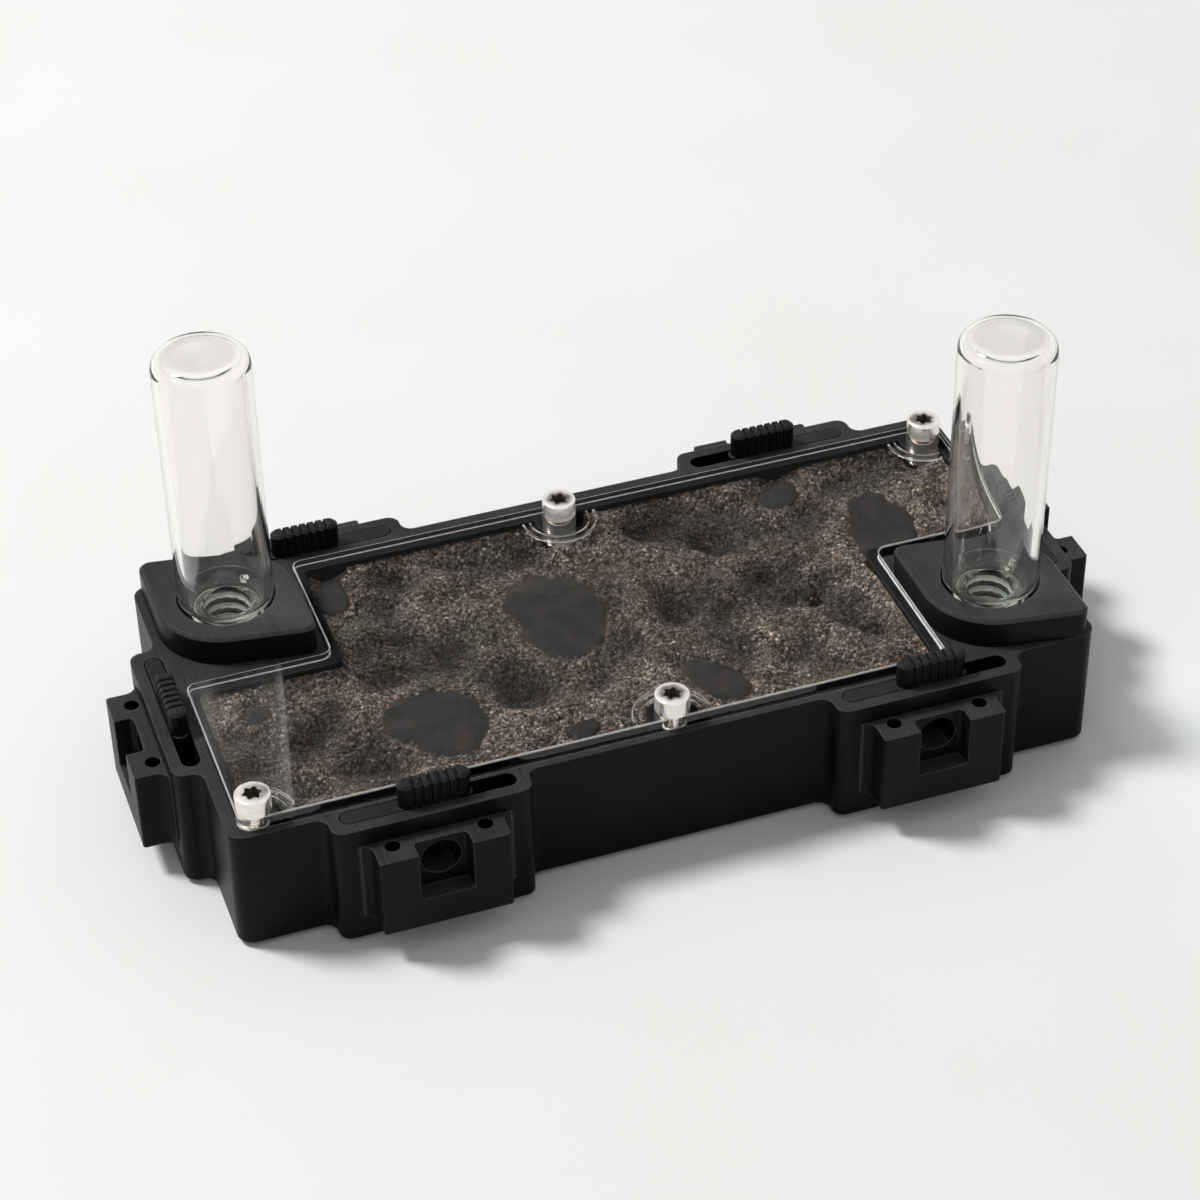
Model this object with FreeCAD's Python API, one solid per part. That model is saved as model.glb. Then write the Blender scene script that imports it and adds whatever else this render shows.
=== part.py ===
import FreeCAD, Part
import math
import os

# Ant habitat: a black printed tray with a clear lid, six sliding gate ports in its walls and
# two glass vials standing in threaded sockets at opposite corners.
# Millimetres. The origin is at the middle of the tray's underside, +Z up, the front is -Y.

V = FreeCAD.Vector
UP = V(0, 0, 1)

# Tray
tray_length = 140.0
tray_width = 64.0
tray_height = 22.0
corner_radius = 2.5
base_chamfer = 1.0
floor_thickness = 3.0
running_gap = 0.2

# Clear lid and the chamber under it
lid_thickness = 2.4
lid_front_margin = 1.0
lid_back_margin = 4.9
lid_side_margin = 1.9
lid_corner_radius = 1.6
lid_land = 1.6
notch_gap_x = 1.0
notch_gap_y = 3.4
rib_inner_radius = 7.2
rib_width = 1.2
rib_depth = 1.2
rib_wall_gap = 0.4

# Lid screws, M3 cap heads with a driver recess, and their brass inserts
screw_radius = 1.5
screw_length = 8.0
screw_head_radius = 2.75
screw_head_height = 3.0
screw_head_chamfer = 0.35
recess_sides = 6
recess_radius = 1.3
recess_depth = 1.6
screw_hole_gap = 0.2
thread_gap = 0.03
screw_left_inset = 4.7
screw_right_inset = 5.0
screw_front_inset = 3.3
screw_back_inset = 7.6
screw_post_radius = 4.0
insert_radius = 2.2
insert_length = 5.0
insert_depth_gap = 2.0

# Gate port: boss on the wall, socket block on the boss, gate in its slot
long_wall_port_offset = 40.0
boss_width = 31.0
boss_depth = 4.3
boss_corner_radius = 1.9
slot_length = 27.4
slot_width = 3.0
slot_offset = 0.95
slot_floor = 10.0
passage_radius = 3.1
passage_below_rim = 6.8
block_width = 20.2
block_depth = 5.1
block_top_below_rim = 3.0
block_bottom = 5.0
block_flare = 2.0
block_edge_radius = 0.5
pocket_width = 8.3
pocket_depth = 3.0
pocket_bottom_below_rim = 11.8
pocket_corner_radius = 0.8
pin_hole_radius = 1.2
pin_hole_spacing = 14.3
pin_hole_inset = 1.6
pin_hole_depth = 10.0

# Gate
gate_length = 20.3
gate_closing_margin = 0.5
grip_length = 11.2
grip_height = 4.3
grip_width = 2.9
grip_groove_count = 6
grip_groove_pitch = 1.35
grip_groove_width = 0.7
grip_groove_depth = 0.5
grip_edge = 0.5
grip_setback = 0.35

# Vials, their collars, seals and sockets
vial_inset_x = 12.8
vial_inset_y = 13.0
vial_radius = 7.6
vial_wall = 1.0
vial_end_thickness = 1.3
vial_top_above_rim = 50.5
vial_end_radius = 2.6
neck_radius = 5.0
neck_bore_radius = 3.7
neck_above_rim = 3.2
neck_length = 10.2
shoulder_height = 2.4
thread_height = 0.6
collar_thickness = 5.0
collar_radius = 11.4
collar_corner_x = 9.6
collar_corner_y = 11.2
collar_corner_radius = 1.8
collar_edge = 0.5
collar_gap = 0.25
spigot_wall = 0.9
spigot_depth = 2.0
seal_thickness = 0.8
seal_radius = 5.2
socket_gap = 0.25
riser_radius = 3.7
tunnel_drop = 0.6

# Sand and flat stones
sand_below_rim = 4.6
sand_gap = 0.05
hollow_radius = 7.0
stone_height = 2.4
stone_sunk = 1.4
stone_foot_share = 0.85
# Middle (x, y) and half sizes of each stone.
stone_places = (
    (-5.5, 5.5, 9.0, 11.5),
    (-33.5, -14.5, 8.0, 8.5),
    (48.0, 10.0, 6.5, 9.5),
    (10.0, -19.5, 5.0, 6.0),
    (-39.0, 19.5, 3.5, 5.5),
    (-58.5, -4.0, 4.0, 3.5),
    (37.5, 19.8, 4.0, 3.5),
)

rim = tray_height
lid_front = -tray_width / 2 + lid_front_margin
lid_back = tray_width / 2 - lid_back_margin
lid_side = tray_length / 2 - lid_side_margin
vial_x = tray_length / 2 - vial_inset_x
vial_y = tray_width / 2 - vial_inset_y
lid_notch_x = vial_x - collar_radius - notch_gap_x
lid_notch_y = vial_y - collar_corner_y - collar_corner_radius - notch_gap_y
passage_z = rim - passage_below_rim
block_top = rim - block_top_below_rim
pocket_bottom = rim - pocket_bottom_below_rim
block_face = boss_depth + block_depth
gate_travel = 2 * passage_radius + gate_closing_margin
sand_top = rim - sand_below_rim
neck_top = rim + neck_above_rim
neck_bottom = neck_top - neck_length
socket_radius = neck_radius + thread_height + socket_gap
tunnel_z = neck_bottom - seal_thickness - tunnel_drop - passage_radius
screw_left = -tray_length / 2 + screw_left_inset
screw_right = tray_length / 2 - screw_right_inset
screw_front = -tray_width / 2 + screw_front_inset
screw_back = tray_width / 2 - screw_back_inset
SCREWS = ((screw_left, screw_front), (0.0, screw_front), (0.0, screw_back), (screw_right, screw_back))

# Each port is the same module turned about Z: name, middle of its wall's outer face, turn.
PORTS = (
    ("front_left", -long_wall_port_offset, -tray_width / 2, 0),
    ("front_right", long_wall_port_offset, -tray_width / 2, 0),
    ("right", tray_length / 2, 0.0, 90),
    ("back_right", long_wall_port_offset, tray_width / 2, 180),
    ("back_left", -long_wall_port_offset, tray_width / 2, 180),
    ("left", -tray_length / 2, 0.0, -90),
)
# The two vial corners are the same module turned half round.
VIALS = (("left", 0), ("right", 180))


def save(name, shape):
    """Write one node."""
    shape.exportStep(os.path.join("parts", name + ".step"))


def box(x0, x1, y0, y1, z0, z1):
    """A box between two corners."""
    return Part.makeBox(x1 - x0, y1 - y0, z1 - z0, V(x0, y0, z0))


def cylinder(x, y, z0, z1, radius):
    """An upright cylinder."""
    return Part.makeCylinder(radius, z1 - z0, V(x, y, z0), UP)


def prism(outline, z0, z1):
    """An upright prism over corner points (x, y)."""
    points = [V(x, y, z0) for x, y in outline]
    face = Part.Face(Part.makePolygon(points + points[:1]))
    return face.extrude(V(0, 0, z1 - z0))


def lathe(profile, x, y):
    """A body turned about an upright axis from (radius, z) points."""
    points = [V(radius, 0, z) for radius, z in profile]
    face = Part.Face(Part.makePolygon(points + points[:1]))
    turned = face.revolve(V(0, 0, 0), UP, 360)
    turned.translate(V(x, y, 0))
    return turned


def upright_edges(shape, chosen=None):
    """The straight upright edges of a shape that the test picks out by their place."""
    found = []
    for edge in shape.Edges:
        if not isinstance(edge.Curve, Part.Line):
            continue
        start, end = edge.Vertexes[0].Point, edge.Vertexes[-1].Point
        if abs(start.x - end.x) + abs(start.y - end.y) > 1e-6:
            continue
        if chosen is None or chosen(start.x, start.y):
            found.append(edge)
    return found


def level_edges(shape, z):
    """The edges that lie wholly at one height."""
    return [e for e in shape.Edges if all(abs(v.Point.z - z) < 1e-6 for v in e.Vertexes)
            and abs(e.CenterOfMass.z - z) < 1e-6]


def stadium(length, width, z0, z1, x=0.0, y=0.0):
    """An upright prism with round ends, lying along X."""
    half = length / 2 - width / 2
    middle = box(x - half, x + half, y - width / 2, y + width / 2, z0, z1)
    ends = [cylinder(x + side * half, y, z0, z1, width / 2) for side in (-1, 1)]
    return middle.fuse(ends).removeSplitter()


def at_port(shape, x, y, turn):
    """Move a piece drawn at a front wall's outer face to a port."""
    placed = shape.copy()
    placed.rotate(V(0, 0, 0), UP, turn)
    placed.translate(V(x, y, 0))
    return placed


def at_vial(shape, turn):
    """Move a piece drawn at the left vial to either vial corner."""
    placed = shape.copy()
    placed.rotate(V(0, 0, 0), UP, turn)
    return placed


# The lid and the chamber share one outline: a rectangle less two opposite corners.
def chamber_outline(inset):
    """Corner points of the lid's outline moved inwards by an inset."""
    left, right = -lid_side + inset, lid_side - inset
    front, back = lid_front + inset, lid_back - inset
    notch_x, notch_y = lid_notch_x - inset, lid_notch_y - inset
    return ((left, front), (notch_x, front), (notch_x, -notch_y), (right, -notch_y),
            (right, back), (-notch_x, back), (-notch_x, notch_y), (left, notch_y))


def chamber_space(inset, z0, z1):
    """The room inside the walls and round the screw posts."""
    space = prism(chamber_outline(inset), z0, z1)
    space = space.makeFillet(lid_corner_radius, upright_edges(space))
    for x, y in SCREWS:
        space = space.cut(cylinder(x, y, z0, z1, screw_post_radius + inset - lid_land))
    return space


# Port module, drawn at the front wall: the wall's outer face is y = 0 and outside is -y.
def boss():
    """Boss that thickens the wall round a gate, with a fillet down each side."""
    half = boss_width / 2
    radius = boss_corner_radius
    foot = half + radius
    turn = math.sqrt(0.5) * radius
    left = [V(-foot, 0, 0), V(-foot + turn, -radius + turn, 0), V(-half, -radius, 0)]
    top_left = [V(-half, -boss_depth + radius, 0),
                V(-half + radius - turn, -boss_depth + radius - turn, 0),
                V(-half + radius, -boss_depth, 0)]
    right = [V(-p.x, p.y, 0) for p in reversed(left)]
    top_right = [V(-p.x, p.y, 0) for p in reversed(top_left)]
    inside = [V(foot, radius, 0), V(-foot, radius, 0)]
    edges = [Part.Arc(*left).toShape(), Part.makeLine(left[2], top_left[0])]
    edges += [Part.Arc(*top_left).toShape(), Part.makeLine(top_left[2], top_right[0])]
    edges += [Part.Arc(*top_right).toShape(), Part.makeLine(top_right[2], right[0])]
    edges += [Part.Arc(*right).toShape(), Part.makeLine(right[2], inside[0])]
    edges += [Part.makeLine(inside[0], inside[1]), Part.makeLine(inside[1], left[0])]
    return Part.Face(Part.Wire(edges)).extrude(V(0, 0, rim))


def gate_slot():
    """Slot that the gate slides in, open at the rim."""
    return stadium(slot_length, slot_width, slot_floor, rim, y=-slot_offset)


def passage(y0, y1):
    """Round way through the wall, from y0 to y1."""
    return Part.makeCylinder(passage_radius, y1 - y0, V(0, y0, passage_z), V(0, 1, 0))


def port_block():
    """Socket block on the boss: flared sides, a front pocket, two upright pin holes."""
    half = block_width / 2
    back, front = -boss_depth, -block_face
    flare = block_flare
    turn = math.sqrt(0.5) * flare
    left = [V(-half - flare, back, 0), V(-half - flare + turn, back - flare + turn, 0),
            V(-half, back - flare, 0)]
    right = [V(-p.x, p.y, 0) for p in reversed(left)]
    corners = [V(-half, front, 0), V(half, front, 0)]
    edges = [Part.Arc(*left).toShape(), Part.makeLine(left[2], corners[0])]
    edges += [Part.makeLine(corners[0], corners[1]), Part.makeLine(corners[1], right[0])]
    edges += [Part.Arc(*right).toShape(), Part.makeLine(right[2], left[0])]
    block = Part.Face(Part.Wire(edges)).extrude(V(0, 0, block_top - block_bottom))
    block.translate(V(0, 0, block_bottom))
    outer = upright_edges(block, lambda x, y: abs(y - front) < 1e-6)
    block = block.makeFillet(block_edge_radius, outer)
    pocket = box(-pocket_width / 2, pocket_width / 2, front - 1, front + pocket_depth,
                 pocket_bottom, block_top + 1)
    pocket = pocket.makeFillet(
        pocket_corner_radius, upright_edges(pocket, lambda x, y: y > front + pocket_depth / 2))
    block = block.cut(pocket).cut(passage(front, back + 1))
    for side in (-1, 1):
        block = block.cut(cylinder(side * pin_hole_spacing / 2, back - pin_hole_inset,
                                   block_top - pin_hole_depth, block_top + 1, pin_hole_radius))
    return block


def grip_groove(x):
    """V groove that runs up one side of the grip, over its top and down the other."""
    half, deep = grip_groove_width / 2, grip_groove_depth
    side = grip_width / 2
    cuts = []
    for out in (-1, 1):
        y = -slot_offset + out * side
        cuts.append(prism(((x - half, y), (x + half, y), (x, y - out * deep)),
                          rim, rim + grip_height))
    over = prism(((x - half, 0), (x + half, 0), (x, -deep)), 0, grip_width)
    over.rotate(V(0, 0, 0), V(1, 0, 0), 90)
    over.translate(V(0, -slot_offset + side, rim + grip_height))
    return cuts[0].fuse([cuts[1], over])


def gate():
    """Sliding gate, closed: blade with its window beside the passage, ribbed grip on top."""
    start = -slot_length / 2 + running_gap
    thickness = slot_width - 2 * running_gap
    middle = start + gate_length / 2
    blade = stadium(gate_length, thickness, slot_floor + running_gap, rim, middle, -slot_offset)
    grip_middle = start + gate_length - grip_setback - grip_length / 2
    grip = stadium(grip_length, grip_width, rim, rim + grip_height, grip_middle, -slot_offset)
    grip = grip.makeChamfer(grip_edge, level_edges(grip, rim + grip_height))
    shape = blade.fuse(grip)
    window = Part.makeCylinder(passage_radius, slot_width * 2,
                               V(-gate_travel, -slot_offset - slot_width, passage_z), V(0, 1, 0))
    shape = shape.cut(window)
    first = grip_middle - (grip_groove_count - 1) * grip_groove_pitch / 2
    for i in range(grip_groove_count):
        shape = shape.cut(grip_groove(first + i * grip_groove_pitch))
    return shape


# Vial module, drawn at the back left corner.
def collar():
    """Black collar plate round the vial's foot, with a spigot pressed into the tray."""
    bore = vial_radius + collar_gap
    plate = cylinder(0, 0, rim, rim + collar_thickness, collar_radius)
    reach_x, reach_y = collar_corner_x, collar_corner_y
    centre = V(reach_x, -reach_y, 0)
    distance = centre.Length
    for side in (-1, 1):
        corner = V(side * reach_x, -side * reach_y, 0)
        tangent = math.acos((collar_radius - collar_corner_radius) / distance)
        heading = math.atan2(corner.y, corner.x)
        outline = []
        for angle in (heading - tangent, heading + tangent):
            normal = (math.cos(angle), math.sin(angle))
            big = (collar_radius * normal[0], collar_radius * normal[1])
            small = (corner.x + collar_corner_radius * normal[0],
                     corner.y + collar_corner_radius * normal[1])
            outline.append((big, small))
        quad = (outline[0][0], outline[0][1], outline[1][1], outline[1][0])
        plate = plate.fuse(prism(quad, rim, rim + collar_thickness))
        plate = plate.fuse(cylinder(corner.x, corner.y, rim, rim + collar_thickness,
                                    collar_corner_radius))
    plate = plate.removeSplitter()
    plate = plate.makeChamfer(collar_edge, level_edges(plate, rim + collar_thickness))
    plate.translate(V(-vial_x, vial_y, 0))
    spigot = cylinder(-vial_x, vial_y, rim - spigot_depth, rim, bore + spigot_wall)
    plate = plate.fuse(spigot).removeSplitter()
    return plate.cut(cylinder(-vial_x, vial_y, rim - spigot_depth - 1,
                              rim + collar_thickness + 1, bore))


def socket_bores():
    """What the tray loses at a vial: spigot seat, neck socket, riser and way to the chamber."""
    x, y = -vial_x, vial_y
    seat = cylinder(x, y, rim - spigot_depth, rim + 1, vial_radius + collar_gap + spigot_wall)
    neck = cylinder(x, y, neck_bottom - seal_thickness, rim, socket_radius)
    riser = cylinder(x, y, tunnel_z - passage_radius, rim, riser_radius)
    run = vial_x - lid_notch_x + lid_land + riser_radius
    tunnel = Part.makeCylinder(passage_radius, run, V(x, y, tunnel_z), V(1, 0, 0))
    return seat.fuse([neck, riser, tunnel])


def vial():
    """Glass vial, mouth down: closed end on top, shoulder, threaded neck, open mouth."""
    top = rim + vial_top_above_rim
    foot = neck_top + shoulder_height
    bend = math.sqrt(0.5) * vial_end_radius
    outer = vial_radius
    inner = vial_radius - vial_wall
    ceiling = top - vial_end_thickness
    points = [V(neck_bore_radius, 0, neck_bottom), V(neck_radius, 0, neck_bottom),
              V(neck_radius, 0, neck_top), V(outer, 0, foot), V(outer, 0, top - vial_end_radius)]
    edges = [Part.makeLine(points[i], points[i + 1]) for i in range(4)]
    arc_end = V(outer - vial_end_radius, 0, top)
    arc_mid = V(outer - vial_end_radius + bend, 0, top - vial_end_radius + bend)
    edges.append(Part.Arc(points[4], arc_mid, arc_end).toShape())
    axis_top, axis_low = V(0, 0, top), V(0, 0, ceiling)
    in_start = V(inner - vial_end_radius + vial_wall, 0, ceiling)
    in_end = V(inner, 0, ceiling - vial_end_radius + vial_wall)
    in_foot = V(inner, 0, foot + vial_wall / 2)
    in_neck = V(neck_bore_radius, 0, neck_top + vial_wall / 2)
    edges += [Part.makeLine(arc_end, axis_top), Part.makeLine(axis_top, axis_low)]
    edges += [Part.makeLine(axis_low, in_start), Part.makeLine(in_start, in_end)]
    edges += [Part.makeLine(in_end, in_foot), Part.makeLine(in_foot, in_neck)]
    edges += [Part.makeLine(in_neck, points[0])]
    glass = Part.Face(Part.Wire(edges)).revolve(V(0, 0, 0), UP, 360)
    glass.translate(V(-vial_x, vial_y, 0))
    return glass


def seal():
    """Silicone washer between the vial's mouth and the bottom of its socket."""
    low = neck_bottom - seal_thickness
    return lathe(((neck_bore_radius, low), (seal_radius, low), (seal_radius, neck_bottom),
                  (neck_bore_radius, neck_bottom)), -vial_x, vial_y)


def tray():
    """Tray: outer block with six bosses, chamber, screw posts, slots, passages and sockets."""
    half_x, half_y = tray_length / 2, tray_width / 2
    body = box(-half_x, half_x, -half_y, half_y, 0, rim)
    body = body.makeFillet(corner_radius, upright_edges(body))
    for _, x, y, turn in PORTS:
        body = body.fuse(at_port(boss(), x, y, turn))
    body = body.removeSplitter()
    body = body.makeChamfer(base_chamfer, level_edges(body, 0.0))
    body = body.cut(chamber_space(lid_land, floor_thickness, rim + 1))
    reach = lid_back_margin + lid_land + 1
    for _, x, y, turn in PORTS:
        body = body.cut(at_port(gate_slot(), x, y, turn))
        body = body.cut(at_port(passage(-boss_depth - 1, reach), x, y, turn))
    for _, turn in VIALS:
        body = body.cut(at_vial(socket_bores(), turn))
    hole_floor = rim - insert_depth_gap - insert_length
    for x, y in SCREWS:
        body = body.cut(cylinder(x, y, hole_floor, rim + 1, insert_radius))
    return body


def lid_ribs():
    """Arc under the lid round each screw, inside the chamber only."""
    room = prism(chamber_outline(lid_land + rib_wall_gap), rim - rib_depth, rim)
    ribs = []
    for x, y in SCREWS:
        ring = cylinder(x, y, rim - rib_depth, rim, rib_inner_radius + rib_width)
        ring = ring.cut(cylinder(x, y, rim - rib_depth, rim, rib_inner_radius))
        ribs.append(ring.common(room))
    return ribs


def lid():
    """Clear lid with its four screw holes."""
    plate = prism(chamber_outline(0), rim, rim + lid_thickness)
    plate = plate.makeFillet(lid_corner_radius, upright_edges(plate))
    plate = plate.fuse(lid_ribs())
    for x, y in SCREWS:
        plate = plate.cut(cylinder(x, y, rim - 1, rim + lid_thickness + 1,
                                   screw_radius + screw_hole_gap))
    return plate.removeSplitter()


def lid_screw(x, y):
    """Screw with a chamfered round head and a driver recess."""
    seat = rim + lid_thickness
    top = seat + screw_head_height
    shape = lathe(((0, seat - screw_length), (screw_radius, seat - screw_length), (screw_radius, seat),
                   (screw_head_radius, seat), (screw_head_radius, top - screw_head_chamfer),
                   (screw_head_radius - screw_head_chamfer, top), (0, top)), x, y)
    corners = []
    for i in range(recess_sides):
        angle = 2 * math.pi * i / recess_sides
        corners.append((x + recess_radius * math.cos(angle), y + recess_radius * math.sin(angle)))
    return shape.cut(prism(corners, top - recess_depth, top + 1))


def brass_insert(x, y):
    """Brass insert, flush with the rim, which the screw turns into."""
    bore = screw_radius + thread_gap
    low = rim - insert_length
    return lathe(((bore, low), (insert_radius, low), (insert_radius, rim), (bore, rim)), x, y)


def stone(x, y, half_x, half_y):
    """A flat water-worn stone: wider at its top than where it is sunk in the sand."""
    rings = []
    for z, share in ((sand_top - stone_sunk, stone_foot_share), (sand_top - stone_sunk + stone_height, 1)):
        long, short = max(half_x, half_y) * share, min(half_x, half_y) * share
        ring = Part.Ellipse(V(0, 0, z), long, short).toShape()
        if half_y > half_x:
            ring.rotate(V(0, 0, 0), UP, 90)
        ring.translate(V(x, y, 0))
        rings.append(Part.Wire(ring))
    return Part.makeLoft(rings, True)


def sand_bed(stones):
    """Sand up to its level, scooped out at each way in and moulded round the stones."""
    sand = chamber_space(lid_land + sand_gap, floor_thickness, sand_top)
    for _, x, y, turn in PORTS:
        reach = lid_back_margin + lid_land if y > 0 else lid_front_margin + lid_land
        scoop = cylinder(0, reach, passage_z - passage_radius, rim, hollow_radius)
        sand = sand.cut(at_port(scoop, x, y, turn))
    for _, turn in VIALS:
        scoop = cylinder(-lid_notch_x + lid_land, vial_y, tunnel_z - passage_radius, rim,
                         hollow_radius)
        sand = sand.cut(at_vial(scoop, turn))
    for pebble in stones:
        sand = sand.cut(pebble)
    return sand


def main():
    os.makedirs("parts", exist_ok=True)
    save("tray_body", tray())
    for name, x, y, turn in PORTS:
        save("port_block_" + name, at_port(port_block(), x, y, turn))
        save("gate_" + name, at_port(gate(), x, y, turn))
    save("clear_lid", lid())
    for number, (x, y) in enumerate(SCREWS, 1):
        save("lid_screw_%d" % number, lid_screw(x, y))
        save("brass_insert_%d" % number, brass_insert(x, y))
    for name, turn in VIALS:
        save("vial_collar_" + name, at_vial(collar(), turn))
        save("glass_vial_" + name, at_vial(vial(), turn))
        save("vial_seal_" + name, at_vial(seal(), turn))
    stones = [stone(*place) for place in stone_places]
    save("flat_stones", Part.makeCompound(stones))
    save("sand_bed", sand_bed(stones))


main()
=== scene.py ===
"""Looks of the ant habitat: printed tray, clear lid over sand, sliding gates, glass vials."""
import math
import random

import bmesh
import bpy
from mathutils import Matrix, Vector, noise


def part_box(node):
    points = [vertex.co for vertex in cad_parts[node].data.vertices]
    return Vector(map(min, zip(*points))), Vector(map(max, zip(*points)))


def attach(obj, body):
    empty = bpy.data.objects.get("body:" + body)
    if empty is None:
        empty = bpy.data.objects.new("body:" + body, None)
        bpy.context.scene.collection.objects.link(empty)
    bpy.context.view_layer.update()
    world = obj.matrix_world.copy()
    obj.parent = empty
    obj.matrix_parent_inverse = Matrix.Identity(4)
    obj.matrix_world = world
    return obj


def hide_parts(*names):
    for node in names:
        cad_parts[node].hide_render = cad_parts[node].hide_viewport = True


MM = 0.001
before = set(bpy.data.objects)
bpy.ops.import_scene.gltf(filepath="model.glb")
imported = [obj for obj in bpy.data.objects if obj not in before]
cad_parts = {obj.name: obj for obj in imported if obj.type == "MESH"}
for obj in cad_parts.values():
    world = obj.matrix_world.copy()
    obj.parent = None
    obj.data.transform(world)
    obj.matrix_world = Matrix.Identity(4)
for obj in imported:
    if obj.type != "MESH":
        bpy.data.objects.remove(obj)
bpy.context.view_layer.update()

# Sizes in metres, read from the frame where a part gives them.
lid_low, lid_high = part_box("clear_lid")
sand_low, sand_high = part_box("sand_bed")
collar_low, collar_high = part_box("vial_collar_left")
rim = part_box("tray_body")[1][2]
lid_land = 1.6 * MM
lid_corner_radius = 1.6 * MM
lid_edge_bevel = 0.25 * MM
notch_gap_x = 1.0 * MM
notch_gap_y = 3.4 * MM
lid_notch_x = collar_high[0] + notch_gap_x
lid_notch_y = collar_low[1] - notch_gap_y
screw_hole_radius = 1.7 * MM
rib_rings = ((4.7 * MM, 5.1 * MM), (5.8 * MM, 6.3 * MM))
rib_depth = 0.4 * MM
rib_clearance = 0.5 * MM
rib_draft = 0.15 * MM
rib_crown = 0.05 * MM
rib_steps = 160

# Screw
screw_radius = 1.5 * MM
screw_head_radius = 2.75 * MM
screw_head_height = 3.0 * MM
screw_head_chamfer = 0.3 * MM
screw_length = 8.0 * MM
screw_pitch = 0.5 * MM
screw_thread_depth = 0.22 * MM
screw_rings_per_turn = 4
screw_sides = 72
recess_radius = 1.25 * MM
recess_lobe = 0.2 * MM
recess_depth = 1.9 * MM
socket_reach = 1.65 * MM

# Vial
vial_radius = 7.6 * MM
vial_wall = 1.0 * MM
vial_end_radius = 2.6 * MM
vial_end_thickness = 1.4 * MM
vial_inner_bend = 1.1 * MM
neck_radius = 4.9 * MM
neck_bore_radius = 3.7 * MM
neck_above_rim = 3.2 * MM
shoulder_height = 2.4 * MM
vial_thread_pitch = 2.0 * MM
vial_thread_height = 0.8 * MM
vial_thread_width = 0.36
vial_thread_run = 0.8 * MM
vial_thread_stop = 0.4 * MM
vial_thread_rings = 90
vial_sides = 96
lip_height = 1.0 * MM

# Sand and stones
sand_level = rim - 2.7 * MM
sand_highest = rim - 0.5 * MM
sand_step = 0.4 * MM
hill_height = 3.0 * MM
hill_size = 13.0 * MM
ripple_height = 1.3 * MM
ripple_size = 5.0 * MM
grain_height = 0.16 * MM
grain_size = 0.5 * MM
bank_height = 1.6 * MM
bank_width = 4.0 * MM
grain_count = 20000
grain_small = 0.12 * MM
grain_usual = 0.2 * MM
grain_large = 0.34 * MM
grain_rise = 0.15
stone_thickness = 2.6 * MM
stone_middle = sand_level - 0.75 * MM
stone_sides = 96
stone_layers = 12
stone_dent = 0.3 * MM
stone_sink = 0.5 * MM
# Shares of a stone's half size: the level sand round it, and the slope under its edge.
apron_share = 0.5
apron_height = 0.1 * MM
slope_share = 0.25
# Middle, half sizes and turn of each stone, in millimetres and degrees.
stones = (
    (-7.4, 3.8, 9.0, 11.0, 8),
    (-33.0, -15.0, 8.6, 8.4, 35),
    (50.0, 7.4, 6.2, 9.8, -4),
    (-40.0, 20.4, 3.2, 5.0, -15),
    (37.6, 21.2, 4.2, 3.6, 20),
    (10.6, -20.4, 4.2, 6.4, 25),
    (-58.6, -3.8, 2.6, 2.2, 60),
    (-12.9, -24.6, 3.2, 2.4, 10),
    (31.9, -5.6, 1.4, 1.2, 0),
)
# Middle, radius and depth of each hollow in the sand, in millimetres; below 0 it is a mound.
hollows = (
    (-30.0, 22.0, 6.0, 2.2), (-19.0, -10.5, 7.0, 2.8), (-13.0, -8.0, 5.0, 1.8),
    (23.0, 15.0, 8.0, 2.4), (28.0, 2.5, 3.5, 3.0), (32.0, -6.0, 4.0, 3.0),
    (11.5, -2.0, 5.0, 2.6), (40.0, -16.0, 3.5, 3.0), (12.0, 21.0, 3.5, 2.2),
    (-50.0, -10.0, 5.0, 1.6), (-40.0, 26.0, 3.0, 3.0), (40.0, 26.0, 3.0, 3.0),
    (-40.0, -30.0, 3.0, 3.0), (66.5, 0.0, 3.0, 3.0), (-66.5, 0.0, 3.0, 3.0),
    (5.0, 23.0, 4.0, -1.5), (4.0, 16.0, 4.0, -1.2), (21.0, 0.0, 4.0, -1.6),
    (34.5, 0.0, 2.5, -1.8), (-38.0, 8.0, 6.0, -1.2), (26.0, -14.0, 5.0, -1.0),
)

# Room, black flag and lamps
floor_size = 6.0
white_room = 1.0
room_light = 0.4
flag_light = 0.04
flag_direction = (0.256, 0.746, 0.616)
flag_outside = 0.972
flag_inside = 0.988
# Name, place, size in metres and power in watts of each lamp.
lamps = (
    ("key_softbox", (-0.98, 0.63, 1.75), 0.5, 31.5),
)

# Camera, at the photograph's angle
camera_azimuth = -19.3
camera_elevation = 38.62
camera_roll = -0.72
camera_distance = 0.49695
camera_target = (0.0, -7.0 * MM, rim)
camera_lens = 94.92
camera_shift = (-0.01995, 0.03054)

random.seed(4)


# Helpers
def linear(colour):
    """Turn an sRGB hex colour to linear RGBA."""
    parts = [int(colour[i:i + 2], 16) / 255 for i in (1, 3, 5)]
    return tuple(c / 12.92 if c <= 0.04045 else ((c + 0.055) / 1.055) ** 2.4 for c in parts) + (1.0,)


def material(name):
    """A new material with its shader, and the shader node."""
    made = bpy.data.materials.new(name)
    made.use_nodes = True
    return made, made.node_tree.nodes["Principled BSDF"]


def add(made, kind, settings=None, **inputs):
    """Add a node: settings are its own properties, inputs are values or (node, output) links."""
    tree = made.node_tree
    new = tree.nodes.new(kind)
    for key, value in (settings or {}).items():
        setattr(new, key, value)
    join(made, new, **inputs)
    return new


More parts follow.
